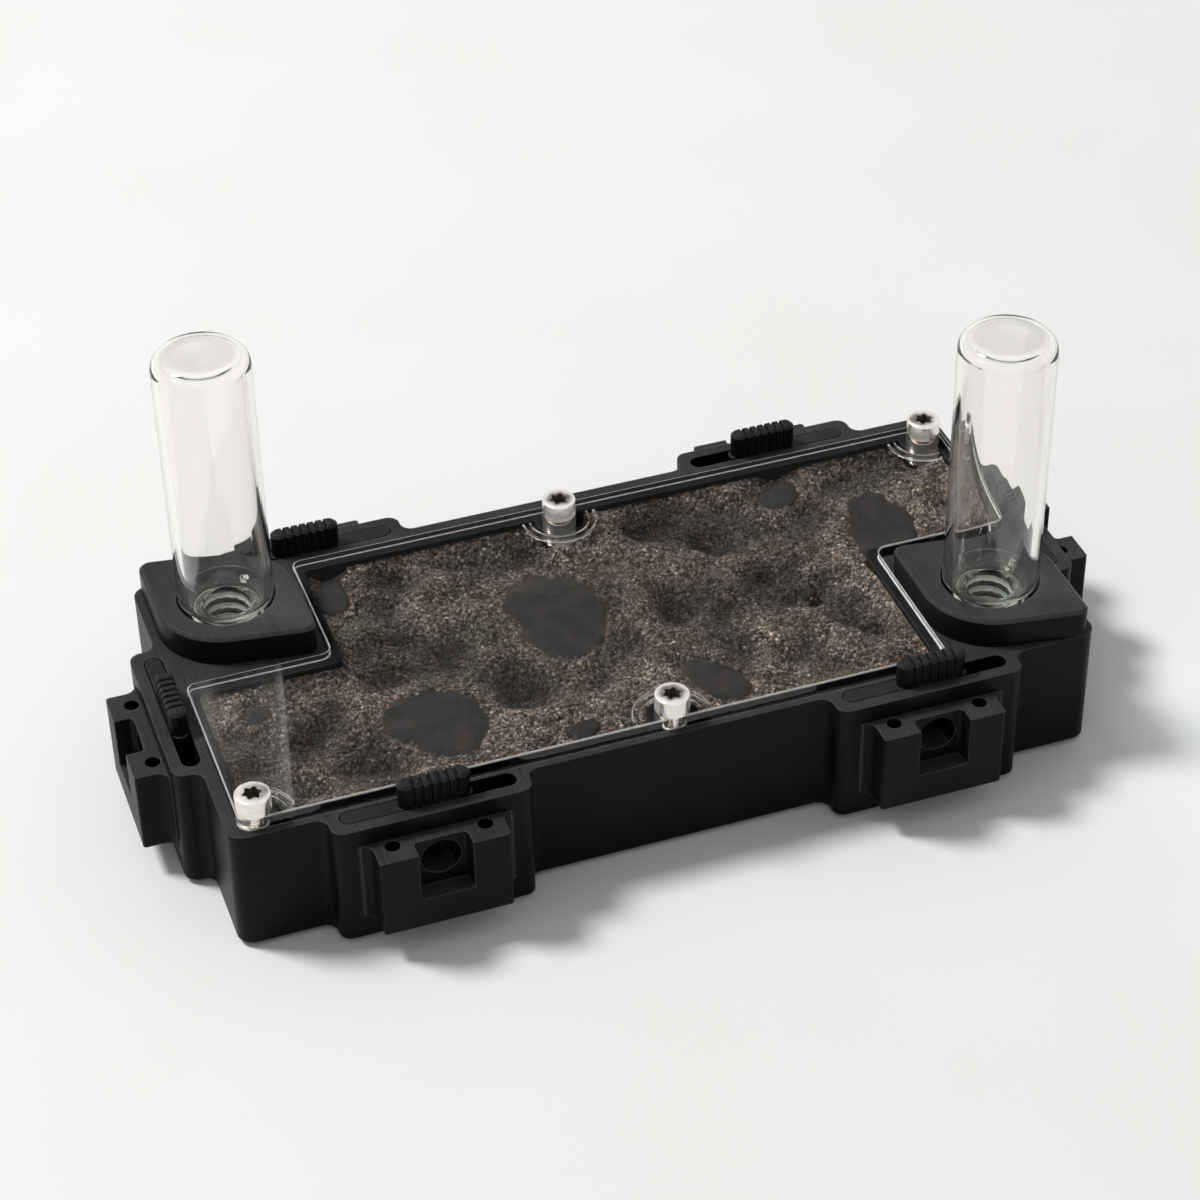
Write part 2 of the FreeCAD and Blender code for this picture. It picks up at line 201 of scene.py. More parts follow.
def join(made, target, **inputs):
    """Set or link a node's inputs, named with _ for a space and a trailing number for an index."""
    for key, value in inputs.items():
        if key[0] == "i" and key[1:].isdigit():
            socket = target.inputs[int(key[1:])]
        else:
            socket = target.inputs[key.replace("_", " ")]
        if isinstance(value, tuple) and isinstance(value[0], bpy.types.Node):
            made.node_tree.links.new(value[0].outputs[value[1]], socket)
        else:
            socket.default_value = value


def ramp(made, fac, stops):
    """A colour ramp through (position, hex colour) stops."""
    new = add(made, "ShaderNodeValToRGB", Fac=fac)
    ends = new.color_ramp.elements
    for i, (position, colour) in enumerate(stops):
        stop = ends[i] if i < 2 else ends.new(position)
        stop.position = position
        stop.color = linear(colour)
    return new


def per_mm(size):
    """Texture scale for a feature of this many millimetres."""
    return 1 / (size * MM)


# Materials
def printed_black(name, shaded_walls_colour, lit_tops_colour, edge_highlight_colour, roughness):
    """Black PETG, printed in layers: dark walls with fine level lines, paler matt tops, painted as
    shaded and lit copies of the plastic, and painted highlights on the edges.
    """
    made, shader = material(name)
    layer = 0.3
    place = add(made, "ShaderNodeTexCoord")
    walls = add(made, "ShaderNodeMapping", i0=(place, "Object"), Scale=(0.02, 0.02, 1.0))
    tops = add(made, "ShaderNodeMapping", i0=(place, "Object"), Rotation=(0, 0, math.radians(42)),
               Scale=(1.0, 0.03, 0.03))
    layers = add(made, "ShaderNodeTexNoise", Vector=(walls, 0), Scale=per_mm(layer), Detail=2.0)
    strokes = add(made, "ShaderNodeTexNoise", Vector=(tops, 0), Scale=per_mm(layer), Detail=2.0)
    facing = add(made, "ShaderNodeNewGeometry")
    split = add(made, "ShaderNodeSeparateXYZ", Vector=(facing, "Normal"))
    upward = add(made, "ShaderNodeMath", {"operation": "ABSOLUTE"}, i0=(split, "Z"))
    is_top = add(made, "ShaderNodeMath", {"operation": "GREATER_THAN"}, i0=(upward, 0), i1=0.7)
    lines = add(made, "ShaderNodeMix", i0=(is_top, 0), i2=(layers, "Fac"), i3=(strokes, "Fac"))
    askew = add(made, "ShaderNodeMapping", i0=(place, "Object"), Rotation=(0.4, 0.7, 0.3))
    patches = add(made, "ShaderNodeTexNoise", Vector=(askew, 0), Scale=per_mm(9), Detail=4.0)
    # Painted light and shade: the walls take a darker colour and the tops a paler one of the same
    # plastic.
    shaded_walls_ramp = ramp(made, (patches, "Fac"), ((0.3, shaded_walls_colour[0]), (0.7, shaded_walls_colour[1])))
    lit_tops_ramp = ramp(made, (patches, "Fac"), ((0.3, lit_tops_colour[0]), (0.7, lit_tops_colour[1])))
    colour = add(made, "ShaderNodeMix", {"data_type": "RGBA"}, i0=(is_top, 0),
                 i6=(shaded_walls_ramp, 0), i7=(lit_tops_ramp, 0))
    # Each line of print catches the light a little differently.
    lit = add(made, "ShaderNodeMapRange", Value=(lines, 0), i1=0.35, i2=0.65, i3=0.87, i4=1.15)
    colour = add(made, "ShaderNodeVectorMath", {"operation": "SCALE"}, i0=(colour, 2),
                 Scale=(lit, 0))
    edges = add(made, "ShaderNodeBevel", {"samples": 8}, Radius=0.35 * MM)
    # Painted highlight on the edges: where the rounded normal leaves the face's own normal, the
    # colour lightens.
    bend = add(made, "ShaderNodeVectorMath", {"operation": "DOT_PRODUCT"}, i0=(edges, 0),
               i1=(facing, "True Normal"))
    painted_edge_highlight = add(made, "ShaderNodeMapRange", Value=(bend, "Value"), i1=0.78, i2=0.99, i3=0.5, i4=0.0)
    colour = add(made, "ShaderNodeMix", {"data_type": "RGBA"}, i0=(painted_edge_highlight, 0),
                 i6=(colour, 0), i7=linear(edge_highlight_colour))
    grit = add(made, "ShaderNodeTexNoise", Vector=(askew, 0), Scale=per_mm(0.5), Detail=3.0)
    fine = add(made, "ShaderNodeBump", Strength=0.22, Distance=0.06 * MM, Height=(grit, "Fac"),
               Normal=(edges, 0))
    bump = add(made, "ShaderNodeBump", Strength=0.4, Distance=0.08 * MM, Height=(lines, 0),
               Normal=(fine, 0))
    sheen = add(made, "ShaderNodeMapRange", Value=(patches, "Fac"), i3=roughness - 0.06,
                i4=roughness + 0.08)
    # The open layer lines trap most of the gloss, so less of it comes back.
    join(made, shader, Base_Color=(colour, 2), Roughness=(sheen, 0), Normal=(bump, 0), IOR=1.57,
         Specular_IOR_Level=0.07)
    return made


def clear(made, shader):
    """Let light pass a clear piece for shadows, as it does for thin clear sheet."""
    rays = add(made, "ShaderNodeLightPath")
    through = add(made, "ShaderNodeBsdfTransparent", Color=linear("#f2f5f4"))
    mixed = add(made, "ShaderNodeMixShader", Fac=(rays, "Is Shadow Ray"), i1=(shader, 0),
                i2=(through, 0))
    join(made, made.node_tree.nodes["Material Output"], Surface=(mixed, 0))


def cast_acrylic():
    """Clear cast acrylic, laser cut: glossy faces and bright edges."""
    made, shader = material("cast_acrylic")
    join(made, shader, Base_Color=linear("#fdfdfc"), Roughness=0.02, IOR=1.49,
         Transmission_Weight=1.0)
    clear(made, shader)
    return made


def cut_acrylic_edge():
    """Laser-cut edge of the same sheet: finely ribbed, so it gathers light and shows white."""
    made, shader = material("cut_acrylic_edge")
    place = add(made, "ShaderNodeTexCoord")
    ribs = add(made, "ShaderNodeTexNoise", Vector=(place, "Object"), Scale=per_mm(0.6), Detail=2.0)
    colour = ramp(made, (ribs, "Fac"), ((0.3, "#d9d7d3"), (0.7, "#fbfaf7")))
    join(made, shader, Base_Color=(colour, 0), Roughness=0.25, IOR=1.49, Transmission_Weight=0.55)
    clear(made, shader)
    return made


def soda_glass():
    """Blown clear glass with faint drawn streaks along the vial."""
    made, shader = material("soda_glass")
    place = add(made, "ShaderNodeTexCoord")
    drawn = add(made, "ShaderNodeMapping", i0=(place, "Object"), Scale=(1.0, 1.0, 0.05))
    streaks = add(made, "ShaderNodeTexNoise", Vector=(drawn, 0), Scale=per_mm(4), Detail=1.0)
    bump = add(made, "ShaderNodeBump", Strength=0.1, Distance=0.1 * MM, Height=(streaks, "Fac"))
    join(made, shader, Base_Color=linear("#fefdfb"), Roughness=0.0, IOR=1.5,
         Transmission_Weight=1.0, Normal=(bump, 0))
    clear(made, shader)
    return made


def thread_glass():
    """The same glass on the thread's crests, scuffed by use, so that its turns catch the light."""
    made, shader = material("thread_glass")
    place = add(made, "ShaderNodeTexCoord")
    flow = add(made, "ShaderNodeTexNoise", Vector=(place, "Object"), Scale=per_mm(1.5), Detail=2.0)
    colour = ramp(made, (flow, "Fac"), ((0.3, "#cfc8bd"), (0.7, "#f4f0ea")))
    join(made, shader, Base_Color=(colour, 0), Roughness=0.15, IOR=1.5, Transmission_Weight=0.35)
    clear(made, shader)
    return made


def turned_stainless():
    """Turned stainless steel: bright, with faint level turning marks."""
    made, shader = material("turned_stainless")
    place = add(made, "ShaderNodeTexCoord")
    flat = add(made, "ShaderNodeMapping", i0=(place, "Object"), Scale=(0.2, 0.2, 1.0))
    marks = add(made, "ShaderNodeTexNoise", Vector=(flat, 0), Scale=per_mm(0.3), Detail=2.0)
    colour = ramp(made, (marks, "Fac"), ((0.3, "#e2ddd7"), (0.7, "#f1ede8")))
    rough = add(made, "ShaderNodeMapRange", Value=(marks, "Fac"), i3=0.22, i4=0.28)
    join(made, shader, Base_Color=(colour, 0), Metallic=1.0, Roughness=(rough, 0))
    return made


def shaded_socket():
    """Pressed steel inside the screw's recess: dull, and painted dark as the shade in the recess."""
    made, shader = material("shaded_socket_steel")
    place = add(made, "ShaderNodeTexCoord")
    film = add(made, "ShaderNodeTexNoise", Vector=(place, "Object"), Scale=per_mm(0.4), Detail=2.0)
    colour = ramp(made, (film, "Fac"), ((0.3, "#6b635d"), (0.7, "#8f867f")))
    join(made, shader, Base_Color=(colour, 0), Metallic=1.0, Roughness=0.45)
    return made


def turned_brass():
    """Turned brass with a knurled outside."""
    made, shader = material("turned_brass")
    place = add(made, "ShaderNodeTexCoord")
    knurl = add(made, "ShaderNodeTexVoronoi", Vector=(place, "Object"), Scale=per_mm(0.4))
    bump = add(made, "ShaderNodeBump", Strength=0.5, Distance=0.1 * MM, Height=(knurl, "Distance"))
    join(made, shader, Base_Color=linear("#c9a45a"), Metallic=1.0, Roughness=0.3, Normal=(bump, 0))
    return made


def silicone():
    """Moulded silicone: milky and soft."""
    made, shader = material("moulded_silicone")
    place = add(made, "ShaderNodeTexCoord")
    cloud = add(made, "ShaderNodeTexNoise", Vector=(place, "Object"), Scale=per_mm(2))
    colour = ramp(made, (cloud, "Fac"), ((0.3, "#d4d4d0"), (0.7, "#e2e2de")))
    join(made, shader, Base_Color=(colour, 0), Roughness=0.5, IOR=1.41, Subsurface_Weight=0.2)
    return made


def sand_tones(made, pick):
    """Mixed dark, brown and pale grains, in drifts of lighter and darker sand, with painted shade low
    in the hollows.
    """
    place = add(made, "ShaderNodeTexCoord")
    tone = ramp(made, pick, ((0.0, "#221d1b"), (0.25, "#453d39"), (0.6, "#655b55"),
                             (0.9, "#776d67"), (0.98, "#8d827a"), (1.0, "#aba199")))
    drift = add(made, "ShaderNodeTexNoise", Vector=(place, "Object"), Scale=per_mm(12), Detail=5.0)
    shade = ramp(made, (drift, "Fac"), ((0.35, "#a89f98"), (0.62, "#fff6ee")))
    dry = add(made, "ShaderNodeMix", {"data_type": "RGBA", "blend_type": "MULTIPLY"},
              i0=1.0, i6=(tone, 0), i7=(shade, 0))
    # Painted shade: the sand is darker towards the bottom of the hollows.
    height = add(made, "ShaderNodeSeparateXYZ", Vector=(place, "Object"))
    hollow_shade = add(made, "ShaderNodeMapRange", Value=(height, "Z"), i1=sand_level - 2.2 * MM,
               i2=sand_level + 0.4 * MM, i3=0.3, i4=1.0)
    return add(made, "ShaderNodeVectorMath", {"operation": "SCALE"}, i0=(dry, 2), Scale=(hollow_shade, 0))


def packed_sand():
    """Washed coarse sand, packed: every cell of the texture is one grain at its real size."""
    made, shader = material("packed_sand")
    place = add(made, "ShaderNodeTexCoord")
    grains = add(made, "ShaderNodeTexVoronoi", Vector=(place, "Object"), Scale=per_mm(0.55))
    pick = add(made, "ShaderNodeSeparateColor", Color=(grains, "Color"))
    tones = sand_tones(made, (pick, 0))
    # The grains shade the gaps between them.
    gaps = add(made, "ShaderNodeMapRange", Value=(grains, "Distance"), i1=0.3, i2=0.7, i3=1.4,
               i4=0.35)
    colour = add(made, "ShaderNodeVectorMath", {"operation": "SCALE"}, i0=(tones, 0),
                 Scale=(gaps, 0))
    bump = add(made, "ShaderNodeBump", {"invert": True}, Strength=0.9, Distance=0.25 * MM,
               Height=(grains, "Distance"))
    join(made, shader, Base_Color=(colour, 0), Roughness=0.9, Normal=(bump, 0),
         Specular_IOR_Level=0.25)
    return made


def loose_sand():
    """Loose grains of the same sand: each grain has one colour of its own."""
    made, shader = material("loose_sand")
    island = add(made, "ShaderNodeNewGeometry")
    place = add(made, "ShaderNodeTexCoord")
    colour = sand_tones(made, (island, "Random Per Island"))
    pits = add(made, "ShaderNodeTexNoise", Vector=(place, "Object"), Scale=per_mm(0.15), Detail=2.0)
    bump = add(made, "ShaderNodeBump", Strength=0.5, Distance=0.05 * MM, Height=(pits, "Fac"))
    join(made, shader, Base_Color=(colour, 0), Roughness=0.75, IOR=1.54, Normal=(bump, 0),
         Specular_IOR_Level=0.3)
    return made


def worn_slate():
    """Water-worn slate: dull dark grey, pitted, with cloudy mottling."""
    made, shader = material("worn_slate")
    place = add(made, "ShaderNodeTexCoord")
    askew = add(made, "ShaderNodeMapping", i0=(place, "Object"), Rotation=(0.4, 0.7, 0.3))
    mottle = add(made, "ShaderNodeTexNoise", Vector=(askew, 0), Scale=per_mm(3.5), Detail=8.0)
    specks = add(made, "ShaderNodeTexNoise", Vector=(askew, 0), Scale=per_mm(0.9), Detail=6.0,
                 Roughness=0.7)
    colour = ramp(made, (mottle, "Fac"), ((0.3, "#151312"), (0.7, "#2b2725")))
    bump = add(made, "ShaderNodeBump", Strength=1.0, Distance=0.5 * MM, Height=(specks, "Fac"))
    join(made, shader, Base_Color=(colour, 0), Roughness=0.85, Normal=(bump, 0),
         Specular_IOR_Level=0.25)
    return made


def studio_floor():
    """Matt white board."""
    made, shader = material("studio_floor")
    place = add(made, "ShaderNodeTexCoord")
    fibre = add(made, "ShaderNodeTexNoise", Vector=(place, "Object"), Scale=per_mm(60))
    colour = ramp(made, (fibre, "Fac"), ((0.3, "#f3f2f0"), (0.7, "#f6f5f4")))
    join(made, shader, Base_Color=(colour, 0), Roughness=0.7)
    return made


# Mesh helpers
def middle(node):
    """Middle of a node's box, seen from above."""
    low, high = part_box(node)
    return (low[0] + high[0]) / 2, (low[1] + high[1]) / 2


def piece(name, mesh, look, body, slot_name, *nodes):
    """Show a mesh as a piece that rides on a body and stands for the named nodes."""
    made = bpy.data.objects.new(name, mesh)
    bpy.context.scene.collection.objects.link(made)
    mesh.materials.clear()
    mesh.materials.append(look)
    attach(made, body)
    if nodes:
        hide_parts(*nodes)
    return made


def smooth(mesh, degrees):
    """Shade smooth, with edges kept where faces meet at a sharper angle."""
    for face in mesh.polygons:
        face.use_smooth = True
    mesh.set_sharp_from_angle(angle=math.radians(degrees))


def second_look(made, look, picks):
    """Give a second material to the faces of a piece that a test picks."""
    made.data.materials.append(look)
    for face in made.data.polygons:
        face.material_index = int(picks(face))


def from_axis(face, axis):
    """Distance of a face's middle from an upright axis."""
    return math.hypot(face.center.x - axis[0], face.center.y - axis[1])


def skin(shape, loops):
    """Faces from each loop of points to the next, open at both ends."""
    for lower, upper in zip(loops, loops[1:]):
        for i in range(len(lower)):
            j = (i + 1) % len(lower)
            shape.faces.new((lower[i], lower[j], upper[j], upper[i]))


def close(shape, loops):
    """End faces on the first and the last loop; returns the last."""
    shape.faces.new(list(reversed(loops[0])))
    return shape.faces.new(loops[-1])


def finished_mesh(shape, name, degrees):
    """The shape as a mesh with its faces outwards, smooth up to an angle between them."""
    bmesh.ops.recalc_face_normals(shape, faces=shape.faces)
    mesh = bpy.data.meshes.new(name)
    shape.to_mesh(mesh)
    shape.free()
    smooth(mesh, degrees)
    return mesh


def circle(x, y, z, radius, count):
    """A level ring of points; radius is a number or a function of the angle."""
    points = []
    for i in range(count):
        angle = 2 * math.pi * i / count
        r = radius(angle) if callable(radius) else radius
        points.append((x + r * math.cos(angle), y + r * math.sin(angle), z))
    return points


# Lid
def rounded_outline(corners, radius, steps=6):
    """Corner points with each corner rounded by an arc."""
    out = []
    count = len(corners)
    for i in range(count):
        here = Vector(corners[i])
        before = (Vector(corners[i - 1]) - here).normalized()
        after = (Vector(corners[(i + 1) % count]) - here).normalized()
        centre = here + (before + after) * radius
        start = here + before * radius - centre
        end = here + after * radius - centre
        for k in range(steps + 1):
            mixed = start.lerp(end, k / steps)
            out.append(centre + mixed.normalized() * radius)
    return out


def chamber_outline(inset):
    """The lid's outline moved inwards: a rectangle less two opposite corners."""
    left, front = lid_low[0] + inset, lid_low[1] + inset
    right, back = lid_high[0] - inset, lid_high[1] - inset
    x, y = -lid_notch_x - inset, lid_notch_y - inset
    return ((left, front), (x, front), (x, -y), (right, -y),
            (right, back), (-x, back), (-x, y), (left, y))


def screw_places():
    """Middle of each lid screw."""
    return [middle("lid_screw_%d" % number) for number in range(1, 5)]


def lid_mesh():
    """The lid as a cut sheet with its holes and lightly broken edges."""
    sheet = bpy.data.curves.new("clear_lid_sheet", "CURVE")
    sheet.dimensions = "2D"
    sheet.fill_mode = "BOTH"
    thickness = lid_high[2] - rim
    sheet.extrude = thickness / 2 - lid_edge_bevel
    sheet.bevel_depth = lid_edge_bevel
    sheet.bevel_resolution = 2
    sheet.offset = -lid_edge_bevel
    loops = [[tuple(p) for p in rounded_outline(chamber_outline(0), lid_corner_radius)]]
    loops += [[p[:2] for p in circle(x, y, 0, screw_hole_radius, 40)] for x, y in screw_places()]
    for loop in loops:
        line = sheet.splines.new("POLY")
        line.points.add(len(loop) - 1)
        for point, (x, y) in zip(line.points, loop):
            point.co = (x, y, 0, 1)
        line.use_cyclic_u = True
    holder = bpy.data.objects.new("clear_lid_sheet", sheet)
    mesh = bpy.data.meshes.new_from_object(holder)
    bpy.data.objects.remove(holder)
    mesh.transform(Matrix.Translation((0, 0, rim + thickness / 2)))
    shape = bmesh.new()
    shape.from_mesh(mesh)
    bmesh.ops.remove_doubles(shape, verts=shape.verts, dist=0.004 * MM)
    bmesh.ops.recalc_face_normals(shape, faces=shape.faces)
    shape.to_mesh(mesh)
    shape.free()
    smooth(mesh, 40)
    for face in mesh.polygons:
        if abs(face.normal.z) > 0.99:
            face.use_smooth = False
    return mesh


def inside_chamber(x, y, inset):
    """Whether a point is inside the chamber's outline moved in by an inset."""
    if not (lid_low[0] + inset < x < lid_high[0] - inset):
        return False
    if not (lid_low[1] + inset < y < lid_high[1] - inset):
        return False
    if x < lid_notch_x + inset and y > lid_notch_y - inset:
        return False
    return not (x > -lid_notch_x - inset and y < -lid_notch_y + inset)


def add_rib(shape, axis, ring, spokes):
    """One arc rib round an axis: a five-sided section at each spoke, closed at both ends."""
    inner, outer = ring
    top, low = rim + 0.02 * MM, rim - rib_depth
    section = ((inner, top), (outer, top), (outer - rib_draft, low),
               ((inner + outer) / 2, low - rib_crown), (inner + rib_draft, low))
    loops = []
    for c, s in spokes:
        loops.append([shape.verts.new((axis[0] + r * c, axis[1] + r * s, z)) for r, z in section])
    skin(shape, loops)
    close(shape, loops)


def rib_mesh():
    """Concentric arcs under the lid round each screw, where they are inside the chamber."""
    shape = bmesh.new()
    angles = [2 * math.pi * i / rib_steps for i in range(rib_steps)]
    spokes = [(math.cos(angle), math.sin(angle)) for angle in angles]
    for x, y in screw_places():
        for ring in rib_rings:
            kept = [inside_chamber(x + ring[1] * c, y + ring[1] * s, lid_land + rib_clearance)
                    for c, s in spokes]
            for first, length in arc_runs(kept):
                run = [spokes[(first + k) % rib_steps] for k in range(length)]
                add_rib(shape, (x, y), ring, run)
    return finished_mesh(shape, "lid_ribs", 50)


def arc_runs(kept):
    """(first, length) of each run of kept steps round a ring, runs over the end included."""
    count = len(kept)
    if all(kept):
        return [(0, count)]
    runs = []
    for i in range(count):
        if kept[i] and not kept[i - 1]:
            length = 1
            while kept[(i + length) % count]:
                length += 1
            if length > 2:
                runs.append((i, length))
    return runs


# Screws
def shank_radius(z):
    """Radius of the screw's thread at a height, as a function of the angle."""
    def radius(angle):
        wave = 0.5 + 0.5 * math.cos(2 * math.pi * z / screw_pitch - angle)
        return screw_radius - screw_thread_depth * wave
    return radius


def lobed(scale):
    """Radius of the six-lobed recess, scaled, as a function of the angle."""
    return lambda angle: scale * (recess_radius + recess_lobe * math.cos(6 * angle))


def screw_mesh(x, y):
    """Cap screw: threaded shank, chamfered head, six-lobed recess."""
    seat = lid_high[2]
    top = seat + screw_head_height
    floor = top - recess_depth
    foot = seat - screw_length
    chamfer, head = screw_head_chamfer, screw_head_radius
    steps = int(screw_length / screw_pitch) * screw_rings_per_turn
    levels = [foot + (screw_length - 0.1 * MM) * i / steps for i in range(steps + 1)]
    profile = [(z, shank_radius(z)) for z in levels]
    profile += [(seat, screw_radius), (seat, head - 0.1 * MM), (seat + 0.1 * MM, head),
                (top - chamfer, head), (top - chamfer * 0.3, head - chamfer * 0.4),
                (top, head - chamfer), (top, lobed(1.06)), (top - 0.08 * MM, lobed(1.0)),
                (floor, lobed(0.97)), (floor - 0.25 * MM, 0.3 * MM)]
    shape = bmesh.new()
    loops = []
    for z, radius in profile:
        loops.append([shape.verts.new(p) for p in circle(x, y, z, radius, screw_sides)])
    skin(shape, loops)
    close(shape, loops)
    return finished_mesh(shape, "lid_screw", 35)


# Vials
def neck_outline(z, mouth, neck_top):
    """Radius of the vial's neck at a height, as a function of the angle: one wound ridge."""
    run_in = min(1, max(0, (z - mouth - lip_height) / vial_thread_run))
    run_out = min(1, max(0, (neck_top - vial_thread_stop - z) / vial_thread_run))

    def radius(angle):
        phase = (z / vial_thread_pitch - angle / (2 * math.pi)) % 1
        wave = max(0, 1 - abs(phase - 0.5) / vial_thread_width)
        return neck_radius + vial_thread_height * run_in * run_out * wave ** 0.6
    return radius


def shoulder(foot, narrow, wide):
    """Heights and radii of the smooth widening from the neck to the vial's side."""
    profile = []
    for k in range(9):
        t = k / 8
        ease = t * t * (3 - 2 * t)
        profile.append((foot + shoulder_height * t, narrow + (wide - narrow) * ease))
    return profile


def rounded_end(top, side, bend):
    """Heights and radii of the bend from the vial's side to its flat end."""
    profile = []
    for k in range(13):
        angle = math.pi / 2 * k / 12
        profile.append((top - bend + bend * math.sin(angle), side - bend + bend * math.cos(angle)))
    return profile


def vial_mesh(node):
    """Glass vial, mouth down: rounded closed end, shoulder, neck with a wound thread."""
    low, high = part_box(node)
    x, y = middle(node)
    mouth, top = low[2], high[2]
    neck_top = rim + neck_above_rim
    start = mouth + 0.2 * MM
    outside = [(mouth + 0.3 * MM, neck_bore_radius), (mouth, neck_bore_radius + 0.3 * MM),
               (mouth, neck_radius), (start, neck_radius + 0.25 * MM)]
    for i in range(1, vial_thread_rings + 1):
        z = start + (neck_top - start) * i / vial_thread_rings
        outside.append((z, neck_outline(z, mouth, neck_top)))
    outside += shoulder(neck_top, neck_radius, vial_radius)[1:]
    outside += rounded_end(top, vial_radius, vial_end_radius)
    outside.append((top - 0.15 * MM, 2.0 * MM))
    inner = vial_radius - vial_wall
    ceiling = top - vial_end_thickness
    inside = [(ceiling, 1.0 * MM)]
    inside += reversed(rounded_end(ceiling, inner, vial_inner_bend))
    inside += reversed(shoulder(neck_top + 0.4 * MM, neck_bore_radius, inner))
    shape = bmesh.new()
    loops = []
    for z, radius in outside + inside:
        loops.append([shape.verts.new(p) for p in circle(x, y, z, radius, vial_sides)])
    outer_loops, inner_loops = loops[:len(outside)], loops[len(outside):]
    skin(shape, outer_loops)
    skin(shape, inner_loops + outer_loops[:1])
    shape.faces.new(outer_loops[-1])
    shape.faces.new(list(reversed(inner_loops[0])))
    return finished_mesh(shape, node, 60)


# Sand
def stone_wobble(stone, heading):
    """How far the outline swells or shrinks at a heading, so that it looks broken and worn."""
    sx, sy = stone[:2]
    slow = 0.1 * math.sin(2 * heading + sx) + 0.07 * math.sin(3 * heading + 2 * sy)
    quick = 0.03 * math.sin(7 * heading + 3 * sx) + 0.02 * math.sin(12 * heading + sy)
    return 1 + slow + quick


def stone_reach(x, y, stone):
    """How far a point lies from a stone's middle, in shares of its half size."""
    sx, sy, half_x, half_y, turn = stone
    angle = math.radians(turn)
    dx, dy = x / MM - sx, y / MM - sy
    u = dx * math.cos(angle) + dy * math.sin(angle)
    v = -dx * math.sin(angle) + dy * math.cos(angle)
    heading = math.atan2(v / half_y, u / half_x)
    return math.hypot(u / half_x, v / half_y) / stone_wobble(stone, heading)


def wall_distance(x, y):
    """Distance from a point to the nearest wall of the chamber."""
    notch_x, notch_y = lid_notch_x + lid_land, lid_notch_y - lid_land
    left_notch = math.hypot(max(x - notch_x, 0), max(notch_y - y, 0))
    right_notch = math.hypot(max(-notch_x - x, 0), max(y + notch_y, 0))
    return min(x - sand_low[0], sand_high[0] - x, y - sand_low[1], sand_high[1] - y,
               left_notch, right_notch)


def sand_height(x, y):
    """Height of the sand: hills, ripples, hollows, banks at the walls, level at the stones."""
    hills = noise.noise(Vector((x / hill_size, y / hill_size, 3.1)))
    hills += 0.5 * noise.noise(Vector((x / hill_size * 2.1, y / hill_size * 2.1, 7.7)))
    ripples = noise.noise(Vector((x / ripple_size, y / ripple_size, 1.3)))
    height = hill_height * hills + ripple_height * ripples
    for hx, hy, radius, depth in hollows:
        distance = math.hypot(x / MM - hx, y / MM - hy) / radius
        if distance < 2:
            height -= depth * MM * math.exp(-2 * distance ** 2)
    bank = max(0, 1 - wall_distance(x, y) / bank_width) ** 1.5
    height = height * (1 - bank) + bank_height * bank
    for stone in stones:
        reach = stone_reach(x, y, stone)
        if reach < 1 + apron_share:
            level = min(1, max(0, (1 + apron_share - reach) / apron_share))
            sink = stone_sink * min(1, max(0, (1 - reach) / slope_share))
            height = height * (1 - level) + (apron_height - sink) * level
    return min(sand_highest, sand_level + height)


def grain_relief(x, y):
    """Single grains standing out of the sand."""
    cell = noise.voronoi(Vector((x / grain_size, y / grain_size, 0.0)))[0][0]
    return grain_height * (0.6 - cell)


def sand_mesh():
    """The sand as one closed body, its top a fine grid inside the chamber's walls."""
    left, right = sand_low[0], sand_high[0]
    front, back = sand_low[1], sand_high[1]
    notch_x, notch_y = lid_notch_x + lid_land, lid_notch_y - lid_land
    xs = grid_lines(left, right, (notch_x, -notch_x))
    ys = grid_lines(front, back, (notch_y, -notch_y))
    shape = bmesh.new()
    corners = {}

    def corner(i, j):
        if (i, j) not in corners:
            x, y = xs[i], ys[j]
            corners[i, j] = shape.verts.new((x, y, sand_height(x, y) + grain_relief(x, y)))
        return corners[i, j]

    for i in range(len(xs) - 1):
        for j in range(len(ys) - 1):
            x, y = (xs[i] + xs[i + 1]) / 2, (ys[j] + ys[j + 1]) / 2
            if (x < notch_x and y > notch_y) or (x > -notch_x and y < -notch_y):
                continue
            shape.faces.new((corner(i, j), corner(i + 1, j), corner(i + 1, j + 1), corner(i, j + 1)))
    rim_edges = [edge for edge in shape.edges if edge.is_boundary]
    walls = bmesh.ops.extrude_edge_only(shape, edges=rim_edges)["geom"]
    for vert in walls:
        if isinstance(vert, bmesh.types.BMVert):
            vert.co.z = sand_low[2]
    bmesh.ops.holes_fill(shape, edges=[e for e in shape.edges if e.is_boundary], sides=0)
    return finished_mesh(shape, "sand_bed", 60)


def grid_lines(start, end, stops):
    """Grid positions from start to end that pass through every stop."""
    marks = sorted([start, end] + [s for s in stops if start < s < end])
    lines = [start]
    for a, b in zip(marks, marks[1:]):
        count = max(1, round((b - a) / sand_step))
        lines += [a + (b - a) * k / count for k in range(1, count + 1)]
    return lines


